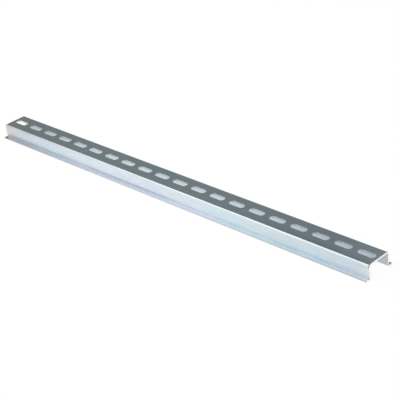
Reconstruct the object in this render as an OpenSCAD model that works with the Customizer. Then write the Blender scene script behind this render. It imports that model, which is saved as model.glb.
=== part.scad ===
// Slotted top-hat mounting rail, folded from one strip of zinc-plated steel.
//
// The rail lies on its two lips with the web on top, as it rests on a bench.
// Frame: +X along the rail, +Y across it, +Z up. The origin is the middle of
// the footprint, on the plane of the lips' outer faces, where devices seat.

/* [Rail] */
// Length of the cut rail
rail_length = 500; // [75:25:2000]
// Width over the two lips that devices clip over
rail_width = 35; // [33:0.5:40]
// Height from the lips' outer faces to the web's outer face
rail_height = 15; // [7.5:0.5:20]
// Width over the outer faces of the two legs
hat_width = 27; // [22:0.5:28]

/* [Strip] */
// Thickness of the steel strip
strip_t = 1.5; // [1:0.1:2.2]
// Inside radius of every bend
bend_r = 0.8; // [0.3:0.1:1]
// Rounding of the strip's slit edges, at the tips of the lips
slit_edge_r = 0.2; // [0.05:0.05:0.4]

/* [Slots] */
// Length of a slot, end to end
slot_length = 18; // [10:0.5:22]
// Width of a slot
slot_width = 6.3; // [4.2:0.1:8]
// Distance between the centres of neighbouring slots
slot_pitch = 25; // [24:0.5:50]
// Radius of the edge that the punch draws in on the web's outer face
slot_edge_r = 0.2; // [0.05:0.05:0.4]

/* [Hidden] */
$fn = 64;

// The outside of a bend is the inside radius with the strip wrapped round it.
bend_outer_r = bend_r + strip_t;
leg_face = hat_width / 2;
leg_run = rail_height - 2 * bend_outer_r;
lip_start = leg_face + bend_r;
lip_run = rail_width / 2 - lip_start;
web_run = hat_width - 2 * bend_outer_r;

// Whole pitches that the length holds; the cuts at the ends share what is left.
slot_count = floor(rail_length / slot_pitch);
slot_reach = (slot_length - slot_width) / 2;
punch_clear = 1;

// Position along the rail of slot i, counted from the -X end.
function slot_x(i) = (i - (slot_count - 1) / 2) * slot_pitch;

// A quarter turn of strip about `centre`, from `start` degrees anticlockwise.
module strip_bend(centre, start) {
    translate(centre)
        rotate(start)
            intersection() {
                difference() {
                    circle(bend_outer_r);
                    circle(bend_r);
                }
                square(bend_outer_r);
            }
}

// The straight part of a lip, with its slit edge rounded at both corners.
module lip_flat() {
    square([lip_run - slit_edge_r, strip_t]);
    translate([0, slit_edge_r])
        square([lip_run, strip_t - 2 * slit_edge_r]);
    for (height = [slit_edge_r, strip_t - slit_edge_r])
        translate([lip_run - slit_edge_r, height])
            circle(slit_edge_r);
}

// Shoulder, leg, foot and lip on the right-hand side of the hat.
module folded_side() {
    strip_bend([leg_face - bend_outer_r, rail_height - bend_outer_r], 0);
    translate([leg_face - strip_t, bend_outer_r])
        square([strip_t, leg_run]);
    strip_bend([lip_start, bend_outer_r], 180);
    translate([lip_start, 0])
        lip_flat();
}

// The whole hat: a strip of one thickness that turns four corners.
module hat_section() {
    translate([-web_run / 2, rail_height - strip_t])
        square([web_run, strip_t]);
    folded_side();
    mirror([1, 0])
        folded_side();
}

// Half outline of a punched opening: x is the distance from its middle, y the
// height. It is plain through the strip and flares where the edge is drawn in.
module punch_outline() {
    translate([0, rail_height - strip_t - punch_clear])
        square([slot_width / 2, strip_t + 2 * punch_clear]);
    difference() {
        translate([0, rail_height - slot_edge_r])
            square([slot_width / 2 + slot_edge_r, slot_edge_r + punch_clear]);
        translate([slot_width / 2 + slot_edge_r, rail_height - slot_edge_r])
            circle(slot_edge_r);
    }
}

// The material that one stroke of the punch takes out: the outline is turned
// at both round ends and drawn straight between them.
module slot_punch() {
    for (side = [-1, 1])
        translate([side * slot_reach, 0, 0])
            rotate_extrude()
                punch_outline();
    rotate([90, 0, 90])
        linear_extrude(2 * slot_reach, center = true) {
            punch_outline();
            mirror([1, 0])
                punch_outline();
        }
}

module rail() {
    color([0.78, 0.81, 0.84])
        difference() {
            rotate([90, 0, 90])
                linear_extrude(rail_length, center = true)
                    hat_section();
            for (i = [0 : slot_count - 1])
                translate([slot_x(i), 0, 0])
                    slot_punch();
        }
}

rail();
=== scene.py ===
import math

import bpy
from mathutils import Matrix, Vector


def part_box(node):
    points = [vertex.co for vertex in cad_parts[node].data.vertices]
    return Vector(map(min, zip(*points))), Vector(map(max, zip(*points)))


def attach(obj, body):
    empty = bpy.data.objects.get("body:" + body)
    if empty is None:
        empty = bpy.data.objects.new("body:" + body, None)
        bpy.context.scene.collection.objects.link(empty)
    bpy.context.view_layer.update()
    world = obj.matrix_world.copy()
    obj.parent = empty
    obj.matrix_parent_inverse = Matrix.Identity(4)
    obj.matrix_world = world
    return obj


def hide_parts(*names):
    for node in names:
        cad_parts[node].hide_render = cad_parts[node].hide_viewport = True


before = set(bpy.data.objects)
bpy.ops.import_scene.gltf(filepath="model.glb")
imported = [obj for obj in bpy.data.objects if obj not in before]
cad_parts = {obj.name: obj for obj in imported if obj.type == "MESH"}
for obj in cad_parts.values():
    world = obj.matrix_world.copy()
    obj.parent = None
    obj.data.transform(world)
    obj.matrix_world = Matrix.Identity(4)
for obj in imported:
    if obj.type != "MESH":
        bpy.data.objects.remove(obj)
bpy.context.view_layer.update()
railLow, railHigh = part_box("rail")


def clearSelection():
    if bpy.context.object and bpy.context.object.mode != "OBJECT":
        bpy.ops.object.mode_set(mode="OBJECT")
    bpy.ops.object.select_all(action="DESELECT")


def workOn(piece):
    clearSelection()
    piece.select_set(True)
    bpy.context.view_layer.objects.active = piece


def pick(piece, kind, test):
    # in edit mode: a vertex or edge is tested by its points, a face by its middle and normal
    bpy.ops.mesh.select_mode(type=kind)
    bpy.ops.mesh.select_all(action="DESELECT")
    bpy.ops.object.mode_set(mode="OBJECT")
    mesh = piece.data
    found = 0
    if kind == "VERT":
        for vertex in mesh.vertices:
            vertex.select = test(vertex.co)
            found += vertex.select
    elif kind == "EDGE":
        for edge in mesh.edges:
            edge.select = test(*(mesh.vertices[i].co for i in edge.vertices))
            found += edge.select
    else:
        for face in mesh.polygons:
            face.select = test(face.center, face.normal)
            found += face.select
    bpy.ops.object.mode_set(mode="EDIT")
    return found


def near(value, wanted):
    # within 0.02 mm
    return abs(value - wanted) < 2e-5


def runModifier(piece, kind, settings):
    workOn(piece)
    modifier = piece.modifiers.new(kind.lower(), kind)
    for name, value in settings.items():
        setattr(modifier, name, value)
    bpy.ops.object.modifier_apply(modifier=modifier.name)


# the rail in metres, folded and punched from one strip
railShape = {
    "hatWidth": 0.027,
    "strip": 0.0015,
    "bendInside": 0.0008,
    "pitch": 0.025,
    "slotLength": 0.018,
    "slotWidth": 0.0063,
    "slotEdge": 0.0002,      # edge that the punch draws in
    "slitEdge": 0.0002,      # rounding of the lips' tips
    "cutEdge": 0.00018,      # rounding that the cut leaves all round the ends
    "cornerEdge": 0.0007,    # the same on the outside of the bends, where the shear drags
    "shoulderSteps": 12,
    "footSteps": 10,
    "slotSides": 48,
    "edgeSteps": 4,
}


def repeatAlong(piece, count):
    # copies at the slots' pitch, with the row in the middle of the rail
    pitch = railShape["pitch"]
    runModifier(piece, "ARRAY", {
        "count": count, "use_relative_offset": False, "use_constant_offset": True,
        "constant_offset_displace": (pitch, 0, 0), "use_merge_vertices": True, "merge_threshold": 1e-5})
    bpy.ops.object.mode_set(mode="EDIT")
    bpy.ops.mesh.select_all(action="SELECT")
    bpy.ops.transform.translate(value=(-(count - 1) / 2 * pitch, 0, 0))
    bpy.ops.object.mode_set(mode="OBJECT")


def foldHalf():
    # one pitch of the strip's outer skin, from the middle of the web to the tip of one lip
    shape = railShape
    outside = shape["bendInside"] + shape["strip"]
    leg = shape["hatWidth"] / 2
    lipStart = leg + shape["bendInside"]
    webRun = leg - outside
    top = railHigh.z
    clearSelection()
    bpy.ops.mesh.primitive_plane_add(size=1, location=(0, webRun / 2, top))
    skin = bpy.context.object
    skin.name = "zinc_plated_rail"
    skin.scale = (shape["pitch"], webRun, 1)
    bpy.ops.object.transform_apply(location=True, rotation=True, scale=True)
    bpy.ops.object.mode_set(mode="EDIT")

    def pickEdge(y, z):
        # the one edge along the rail at y, z
        found = pick(skin, "EDGE", lambda *ends: all(near(end.y, y) and near(end.z, z) for end in ends))
        assert found == 1, (y, z, found)

    # shoulder, leg, foot and lip, each from the edge where the last one stopped
    pickEdge(webRun, top)
    bpy.ops.mesh.spin(steps=shape["shoulderSteps"], angle=math.pi / 2,
                      center=(0, webRun, top - outside), axis=(1, 0, 0))
    pickEdge(leg, top - outside)
    bpy.ops.mesh.extrude_region_move(TRANSFORM_OT_translate={"value": (0, 0, outside - (top - outside))})
    pickEdge(leg, outside)
    bpy.ops.mesh.spin(steps=shape["footSteps"], angle=-math.pi / 2,
                      center=(0, lipStart, outside), axis=(1, 0, 0))
    pickEdge(lipStart, shape["strip"])
    bpy.ops.mesh.extrude_region_move(TRANSFORM_OT_translate={"value": (0, railHigh.y - lipStart, 0)})
    bpy.ops.mesh.select_all(action="SELECT")
    bpy.ops.mesh.remove_doubles(threshold=1e-6)
    bpy.ops.mesh.normals_make_consistent(inside=False)
    bpy.ops.object.mode_set(mode="OBJECT")
    if skin.data.polygons[0].normal.z < 0:
        skin.data.flip_normals()
    return skin


def makePunches(count):
    shape = railShape
    radius = shape["slotWidth"] / 2
    edge = shape["slotEdge"]
    reach = (shape["slotLength"] - shape["slotWidth"]) / 2
    clear = 0.001  # how far a punch stands out on both faces of the web
    low = railHigh.z - shape["strip"] - clear
    top = railHigh.z - edge
    clearSelection()
    bpy.ops.mesh.primitive_cylinder_add(
        vertices=shape["slotSides"], radius=radius, depth=top - low,
        location=(0, 0, (top + low) / 2), rotation=(0, 0, math.pi / shape["slotSides"]))
    punch = bpy.context.object
    punch.name = "punches"
    bpy.ops.object.transform_apply(location=True, rotation=True, scale=True)
    bpy.ops.object.mode_set(mode="EDIT")
    pick(punch, "FACE", lambda middle, normal: normal.z > 0.9)
    # the drawn-in edge: each step goes up and widens along a quarter round
    wide = radius
    high = 0
    for step in range(1, shape["edgeSteps"] + 1):
        angle = math.pi / 2 * step / shape["edgeSteps"]
        rise = edge * math.sin(angle) - high
        grown = radius + edge * (1 - math.cos(angle))
        bpy.ops.mesh.extrude_region_move(TRANSFORM_OT_translate={"value": (0, 0, rise)})
        bpy.ops.transform.resize(value=(grown / wide, grown / wide, 1), center_override=(0, 0, 0))
        wide = grown
        high += rise
    bpy.ops.mesh.extrude_region_move(TRANSFORM_OT_translate={"value": (0, 0, clear)})
    # the round punch is parted into a long one
    for side in (-1, 1):
        pick(punch, "VERT", lambda place: place.x * side > 1e-6)
        bpy.ops.transform.translate(value=(side * reach, 0, 0))
    bpy.ops.object.mode_set(mode="OBJECT")
    repeatAlong(punch, count)
    return punch


def roundEdges(rail):
    # edges get a share of the widest rounding, and one bevel follows the shares
    shape = railShape
    leg = shape["hatWidth"] / 2
    inner = shape["bendInside"]
    outer = inner + shape["strip"]
    slit = shape["slitEdge"] / shape["cornerEdge"]
    cut = shape["cutEdge"] / shape["cornerEdge"]
    bpy.ops.object.mode_set(mode="EDIT")
    pick(rail, "EDGE", lambda a, b: near(abs(a.y), railHigh.y) and near(a.y, b.y) and near(a.z, b.z))
    bpy.ops.transform.edge_bevelweight(value=slit)
    for end in (-1, 1):
        pick(rail, "FACE", lambda middle, normal: normal.x * end > 0.99)
        bpy.ops.mesh.region_to_loop()
        bpy.ops.transform.edge_bevelweight(value=cut)

    def onBend(place, bend, inset):
        # on the outer skin's quarter round at an end, at least inset radians in from both its ends
        y, z, radius, facing = bend
        out = (abs(place.y) - y) / radius * facing
        up = (place.z - z) / radius * facing
        return near(abs(place.x), railHigh.x) and abs(math.hypot(out, up) - 1) < 0.02 \
            and min(out, up) > math.sin(inset) - 0.01

    # the rounding grows towards the middle of each bend
    for bend in ((leg - outer, railHigh.z - outer, outer, 1), (leg + inner, outer, inner, -1)):
        for inset, share in ((0, 0.4), (0.25, 0.35), (0.5, 0.25)):
            pick(rail, "EDGE", lambda a, b:
                 near(a.x, b.x) and onBend(a, bend, inset) and onBend(b, bend, inset))
            bpy.ops.transform.edge_bevelweight(value=(1 - cut) * share)
    bpy.ops.object.mode_set(mode="OBJECT")
    runModifier(rail, "BEVEL", {
        "width": shape["cornerEdge"], "segments": 3, "limit_method": "WEIGHT", "use_clamp_overlap": False})


def makeRail():
    shape = railShape
    count = math.floor((railHigh.x - railLow.x) / shape["pitch"] + 1e-6)
    rail = foldHalf()
    runModifier(rail, "MIRROR", {
        "use_axis": (False, True, False), "use_clip": True, "merge_threshold": 1e-5})
    repeatAlong(rail, count)
    runModifier(rail, "SOLIDIFY", {"thickness": shape["strip"], "offset": -1, "use_even_offset": True})
    print("rail: folded,", len(rail.data.polygons), "faces")

    punches = makePunches(count)
    runModifier(rail, "BOOLEAN", {"operation": "DIFFERENCE", "object": punches, "solver": "EXACT"})
    bpy.data.objects.remove(punches)
    print("rail:", count, "slots punched,", len(rail.data.polygons), "faces")

    roundEdges(rail)
    workOn(rail)
    bpy.ops.object.shade_smooth_by_angle(angle=math.radians(40))
    runModifier(rail, "WEIGHTED_NORMAL", {"mode": "FACE_AREA", "weight": 50, "keep_sharp": True})
    print("rail: edges rounded,", len(rail.data.polygons), "faces")
    return rail


# a socket that takes part in plain expressions
class Wired:
    def __init__(self, sheet, socket):
        self.sheet = sheet
        self.socket = socket

    def maths(self, operation, left, right):
        return self.sheet.add("ShaderNodeMath", {"operation": operation}, {0: left, 1: right})

    def __add__(self, other):
        return self.maths("ADD", self, other)

    def __radd__(self, other):
        return self.maths("ADD", other, self)

    def __sub__(self, other):
        return self.maths("SUBTRACT", self, other)

    def __rsub__(self, other):
        return self.maths("SUBTRACT", other, self)

    def __mul__(self, other):
        return self.maths("MULTIPLY", self, other)

    def __rmul__(self, other):
        return self.maths("MULTIPLY", other, self)

    def __abs__(self):
        return self.sheet.add("ShaderNodeMath", {"operation": "ABSOLUTE"}, {0: self})

    def smooth(self, low, high):
        # 0 below low, 1 above high, and a soft step between
        return self.sheet.add("ShaderNodeMapRange", {"interpolation_type": "SMOOTHSTEP"},
                              {"Value": self, "From Min": low, "From Max": high})

    def band(self, middle, full, gone):
        # 1 within full of the middle, and 0 beyond gone
        return 1 - abs(self - middle).smooth(full, gone)


class NodeSheet:
    def __init__(self, tree):
        self.tree = tree
        tree.nodes.clear()

    def add(self, kind, settings, sockets, output=0):
        node = self.tree.nodes.new(kind)
        for name, value in settings.items():
            setattr(node, name, value)
        for name, value in sockets.items():
            if isinstance(value, Wired):
                self.tree.links.new(value.socket, node.inputs[name])
            else:
                node.inputs[name].default_value = value
        return Wired(self, node.outputs[output]) if output is not None else node

    def apart(self, vector):
        node = self.add("ShaderNodeSeparateXYZ", {}, {0: vector}, None)
        return [Wired(self, socket) for socket in node.outputs]

    def tint(self, amount, first, second):
        # one colour turned into another by amount
        return self.add("ShaderNodeMix", {"data_type": "RGBA"}, {0: amount, 6: first, 7: second}, 2)

    def stain(self, amount, colour, other):
        # a colour multiplied by another, by amount
        return self.add("ShaderNodeMix", {"data_type": "RGBA", "blend_type": "MULTIPLY"},
                        {0: amount, 6: colour, 7: other}, 2)


def solid(red, green, blue):
    return (red, green, blue, 1)


# blue-passivated zinc on cold-rolled strip
platingLook = {
    "zinc": solid(0.725, 0.812, 0.880),
    "lilac": solid(0.770, 0.802, 0.900),
    "ice": solid(0.705, 0.824, 0.875),
    "grainStain": solid(0.95, 0.955, 0.96),
    "streak": solid(0.92, 0.925, 0.93),
    "lipZinc": solid(0.760, 0.782, 0.800),       # thicker on the strip's edges
    "insideZinc": solid(0.79, 0.86, 0.885),      # thinner inside the hat
    # painted shade inside the hat towards the right end
    "paintedInsideShade": solid(0.86, 0.865, 0.88),
    "slate": solid(0.715, 0.795, 0.945),
    "greyZinc": solid(0.850, 0.865, 0.840),      # beside the cuts, where the passivation is thin
    "warmCut": solid(0.95, 0.905, 0.915),
    "paintedShadeLeft": solid(0.80, 0.80, 0.81),        # painted shade, darker towards both ends
    "paintedShadeRight": solid(0.88, 0.88, 0.89),
    # painted shade along the web's near edge
    "paintedWebShade": solid(0.86, 0.86, 0.88),
    "paintedFootShade": solid(0.56, 0.65, 0.71),        # painted shade in the foot's bend
    # painted shade, a crisp darker line above the foot's bend
    "paintedFootLine": solid(0.55, 0.62, 0.66),
    # rough slit edges, darkened also by painted shade
    "roughEdgeAndShade": solid(0.78, 0.79, 0.80),
    # painted dark reflection at the ends of the bends
    "paintedDarkCorner": solid(0.33, 0.35, 0.33),
    "freshCut": solid(0.93, 0.94, 0.95),
    "roughness": 0.25,
    "patches": (0.045, 0.010),                   # length and width of each pattern
    "washes": (0.135, 0.030),
    "grain": (0.060, 0.0004),
    "streaks": (0.022, 0.0013),
    "waves": (0.030, 0.012),
    "grainDepth": 0.00002,
    "waveDepth": 0.00006,
    "leftCut": 0.028,                            # how far the grey beside a cut reaches
    "rightCut": 0.012,
    "lineStart": (-0.14, -0.07),                 # where the foot's line comes in along the rail
    "lineEnd": (-0.01, 0.03),                    # and where it goes out
    "strokes": ((-0.1207, 0.3), (0.1044, 0.6)),  # marks across the web: place and slant
}


def platedSteel():
    look = platingLook
    material = bpy.data.materials.new("zinc_plated_steel")
    material.use_nodes = True
    sheet = NodeSheet(material.node_tree)
    along, across, height = sheet.apart(sheet.add("ShaderNodeTexCoord", {}, {}, "Object"))
    side = abs(across)

    def stretched(length, width, detail, seed):
        # noise drawn out along the rail
        place = sheet.add("ShaderNodeCombineXYZ", {}, {
            "X": along * (1 / length) + seed,
            "Y": across * (1 / width) + seed * 0.37,
            "Z": height * (1 / width) + seed * 0.71})
        return sheet.add("ShaderNodeTexNoise", {}, {
            "Vector": place, "Scale": 1.0, "Detail": detail, "Roughness": 0.55}, "Fac")

    patches = stretched(*look["patches"], detail=2, seed=3.1)
    washes = stretched(*look["washes"], detail=1, seed=7.9)
    grain = stretched(*look["grain"], detail=3, seed=1.3)
    streaks = stretched(*look["streaks"], detail=2, seed=9.2)
    waves = stretched(*look["waves"], detail=1, seed=5.7)

    # parts of the section
    end = railHigh.x
    top = railHigh.z
    leg = railShape["hatWidth"] / 2
    lipStart = leg + railShape["bendInside"]
    footTop = railShape["strip"] + railShape["bendInside"]
    onWeb = height.smooth(top - 0.0003, top - 0.0001)
    onLip = side.smooth(lipStart, lipStart + 0.0007)
    inside = (1 - side.smooth(leg - 0.0013, leg - 0.0003)) * (1 - height.smooth(top - 0.0013, top - 0.0004))
    onShoulder = side.smooth(leg - 0.0027, leg - 0.0015) * height.smooth(top - 0.0038, top - 0.0026)
    onFoot = side.smooth(leg - 0.0001, leg + 0.0002) \
        * (1 - side.smooth(lipStart + 0.0002, lipStart + 0.0007)) \
        * (1 - height.smooth(footTop + 0.0003, footTop + 0.0013))

    colour = sheet.tint(patches.smooth(0.40, 0.68), look["zinc"], look["lilac"])
    colour = sheet.tint(washes.smooth(0.48, 0.75), colour, look["ice"])
    colour = sheet.stain(grain.smooth(0.35, 0.70) * 0.5, colour, look["grainStain"])
    colour = sheet.stain(streaks.smooth(0.40, 0.65), colour, look["streak"])
    colour = sheet.tint(onLip * 0.8, colour, look["lipZinc"])
    colour = sheet.tint(inside * 0.45, colour, look["insideZinc"])

    # beside both cuts the zinc is greyer, further at the left end, where only the leg shows it
    leftEnd = (0 - along).smooth(0.09, 0.26)
    rightEnd = along.smooth(0.02, 0.26)
    uneven = (patches - 0.5) * 0.006
    leftCut = (uneven - along).smooth(end - look["leftCut"], end - 0.004) * (1 - onLip * 0.8)
    rightCut = (uneven + along).smooth(end - look["rightCut"], end + 0.003)
    cut = leftCut + rightCut
    colour = sheet.tint(onWeb * rightEnd * 0.8, colour, look["slate"])
    colour = sheet.tint(cut * 0.9, colour, look["greyZinc"])
    colour = sheet.stain(leftCut, colour, look["warmCut"])
    # painted shade inside the hat, growing towards the right end
    colour = sheet.stain(inside * rightEnd, colour, look["paintedInsideShade"])
    # painted shade: darker towards both ends of the rail, less so on the web
    colour = sheet.stain(leftEnd * (1 - onWeb * 0.6), colour, look["paintedShadeLeft"])
    colour = sheet.stain(rightEnd * (1 - onWeb * along.smooth(0.205, 0.230)), colour, look["paintedShadeRight"])
    # painted shade along the near edge of the web, growing towards the right end
    nearSide = onWeb * (0 - across).smooth(0.005, 0.0115) * along.smooth(0.05, 0.20)
    colour = sheet.stain(nearSide, colour, look["paintedWebShade"])

    # painted shade: a darker band in the foot's bend, with a crisp darker line above it left of the middle
    foot = side.band(leg + 0.0003, 0.0002, 0.0007) * height.band(footTop - 0.0001, 0.0002, 0.0008)
    line = height.band(footTop + 0.0002, 0.0003, 0.0006) \
        * side.smooth(leg - 0.0007, leg - 0.0002) * (1 - onLip) \
        * along.smooth(*look["lineStart"]) * (1 - along.smooth(*look["lineEnd"]))
    colour = sheet.stain(foot * 0.75, colour, look["paintedFootShade"])
    colour = sheet.stain(line, colour, look["paintedFootLine"])

    # faint marks across the web where one stroke of the slot punches meets the next
    strokes = 0
    for place, slant in look["strokes"]:
        strokes = strokes + (along - across * slant).band(place, 0.0003, 0.0016)
    strokes = strokes * across.band(-0.0075, 0.003, 0.008) * onWeb
    colour = sheet.tint(strokes * 0.6, colour, look["greyZinc"])

    # the slit edges are rough and darker, partly as painted shade; the lip is darker towards its left end;
    # the outside of the bends gets a painted dark reflection at the ends, and the cut faces are bare
    colour = sheet.stain(side.smooth(railHigh.y - 0.0005, railHigh.y - 0.0002), colour, look["roughEdgeAndShade"])
    colour = sheet.stain(onLip * (0 - along).smooth(end - 0.0075, end - 0.001), colour, look["roughEdgeAndShade"])
    # painted dark reflection at the cut ends of the shoulder and foot bends
    paintedCorner = (onShoulder + onFoot) * abs(along).smooth(end - 0.00085, end - 0.0004)
    colour = sheet.stain(paintedCorner, colour, look["paintedDarkCorner"])
    colour = sheet.tint(abs(along).smooth(end - 0.00012, end - 0.00004), colour, look["freshCut"])

    roughness = look["roughness"] + (grain - 0.5) * 0.10 + (washes - 0.5) * 0.05
    roughness = roughness + cut * 0.06 + strokes * 0.12
    bump = sheet.add("ShaderNodeBump", {}, {
        "Strength": 0.25, "Distance": look["grainDepth"], "Height": grain})
    bump = sheet.add("ShaderNodeBump", {}, {
        "Strength": 0.4, "Distance": look["waveDepth"], "Height": waves, "Normal": bump})
    surface = sheet.add("ShaderNodeBsdfPrincipled", {}, {
        "Base Color": colour, "Metallic": 1.0, "Roughness": roughness, "Normal": bump}, "BSDF")
    sheet.add("ShaderNodeOutputMaterial", {}, {"Surface": surface}, None)
    print("zinc plating mixed")
    return material


floorLook = {
    "size": 20.0,
    "colour": solid(0.86, 0.86, 0.86),
    "whiteToCamera": 0.95,   # share of plain white that the camera sees
    "whiteToGloss": 0.65,    # and that the metal mirrors
}


def makeFloor():
    clearSelection()
    bpy.ops.mesh.primitive_plane_add(size=floorLook["size"], location=(0, 0, railLow.z - 0.0002))
    floor = bpy.context.object
    floor.name = "floor"
    material = bpy.data.materials.new("white_floor")
    material.use_nodes = True
    sheet = NodeSheet(material.node_tree)
    rays = sheet.add("ShaderNodeLightPath", {}, {}, None)
    seen = Wired(sheet, rays.outputs["Is Camera Ray"])
    glossy = Wired(sheet, rays.outputs["Is Glossy Ray"])
    passed = Wired(sheet, rays.outputs["Is Transmission Ray"])
    share = seen * floorLook["whiteToCamera"] + (glossy + passed) * floorLook["whiteToGloss"]
    lit = sheet.add("ShaderNodeBsdfDiffuse", {}, {"Color": floorLook["colour"]})
    white = sheet.add("ShaderNodeEmission", {}, {"Color": solid(1, 1, 1), "Strength": 1.0})
    surface = sheet.add("ShaderNodeMixShader", {}, {0: share, 1: lit, 2: white})
    sheet.add("ShaderNodeOutputMaterial", {}, {"Surface": surface}, None)
    floor.data.materials.append(material)
    print("floor laid")


# what the metal mirrors, and one soft lamp from above
studioLook = {
    "bright": solid(1.78, 1.78, 1.78),       # white cards in front and to the left
    "low": 0.60,                             # share of their light near the floor
    "middle": 0.76,                          # and halfway up
    "edge": 0.62,                            # and at their left edge
    "dark": solid(0.07, 0.075, 0.075),       # the unlit side, to the right
    "dim": solid(0.214, 0.243, 0.230),       # the room behind
    "window": solid(1.3, 1.3, 1.3),          # behind and to the right
    "lampPower": 31.0,
    "lampSize": 1.6,
    "lampPlace": (-0.7, -0.5, 1.7),
}


def makeStudio():
    look = studioLook
    world = bpy.data.worlds.new("studio")
    bpy.context.scene.world = world
    world.use_nodes = True
    sheet = NodeSheet(world.node_tree)
    x, y, z = sheet.apart(sheet.add("ShaderNodeTexCoord", {}, {}, "Generated"))
    share = look["low"] + (look["middle"] - look["low"]) * z.smooth(0.15, 0.60) \
        + (1 - look["middle"]) * z.smooth(0.50, 0.70)
    share = share * (look["edge"] + (1 - look["edge"]) * x.smooth(-0.82, -0.62))
    room = sheet.tint(share, solid(0, 0, 0), look["bright"])
    room = sheet.tint(x.smooth(0.10, 0.40), room, look["dark"])
    room = sheet.tint((y + 0.3 * x.smooth(-0.68, -0.50)).smooth(-0.14, 0.08), room, look["dim"])
    room = sheet.tint(x.smooth(0.0, 0.3) * y.smooth(0.3, 0.5), room, look["window"])
    around = sheet.add("ShaderNodeBackground", {}, {"Color": room})
    white = sheet.add("ShaderNodeBackground", {}, {"Color": solid(1, 1, 1)})
    rays = sheet.add("ShaderNodeLightPath", {}, {}, "Is Camera Ray")
    surface = sheet.add("ShaderNodeMixShader", {}, {0: rays, 1: around, 2: white})
    sheet.add("ShaderNodeOutputWorld", {}, {"Surface": surface}, None)

    lamp = bpy.data.lights.new("soft_lamp", "AREA")
    lamp.energy = look["lampPower"]
    lamp.size = look["lampSize"]
    softLamp = bpy.data.objects.new("soft_lamp", lamp)
    bpy.context.scene.collection.objects.link(softLamp)
    softLamp.location = look["lampPlace"]
    softLamp.rotation_euler = Vector(look["lampPlace"]).to_track_quat("Z", "Y").to_euler()
    softLamp.visible_glossy = False
    softLamp.visible_camera = False
    print("studio lit")


cameraLook = {
    "place": (0.7894, -0.6619, 0.5508),
    "forward": (-0.65868, 0.58008, -0.47922),
    "right": (0.70167, 0.70351, -0.11285),
    "lens": 108.57,
}


def makeCamera():
    look = cameraLook
    lens = bpy.data.cameras.new("camera")
    lens.lens = look["lens"]
    lens.sensor_width = 36
    lens.clip_start = 0.01
    camera = bpy.data.objects.new("camera", lens)
    bpy.context.scene.collection.objects.link(camera)
    back = -Vector(look["forward"]).normalized()
    up = back.cross(Vector(look["right"])).normalized()
    right = up.cross(back)
    turned = Matrix((right, up, back)).transposed().to_4x4()
    camera.matrix_world = Matrix.Translation(look["place"]) @ turned
    bpy.context.scene.camera = camera
    print("camera placed")


makeCamera()
makeFloor()
makeStudio()

rail = makeRail()
rail.data.materials.clear()
rail.data.materials.append(platedSteel())
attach(rail, "root")
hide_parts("rail")

bpy.context.scene.view_settings.view_transform = "Standard"
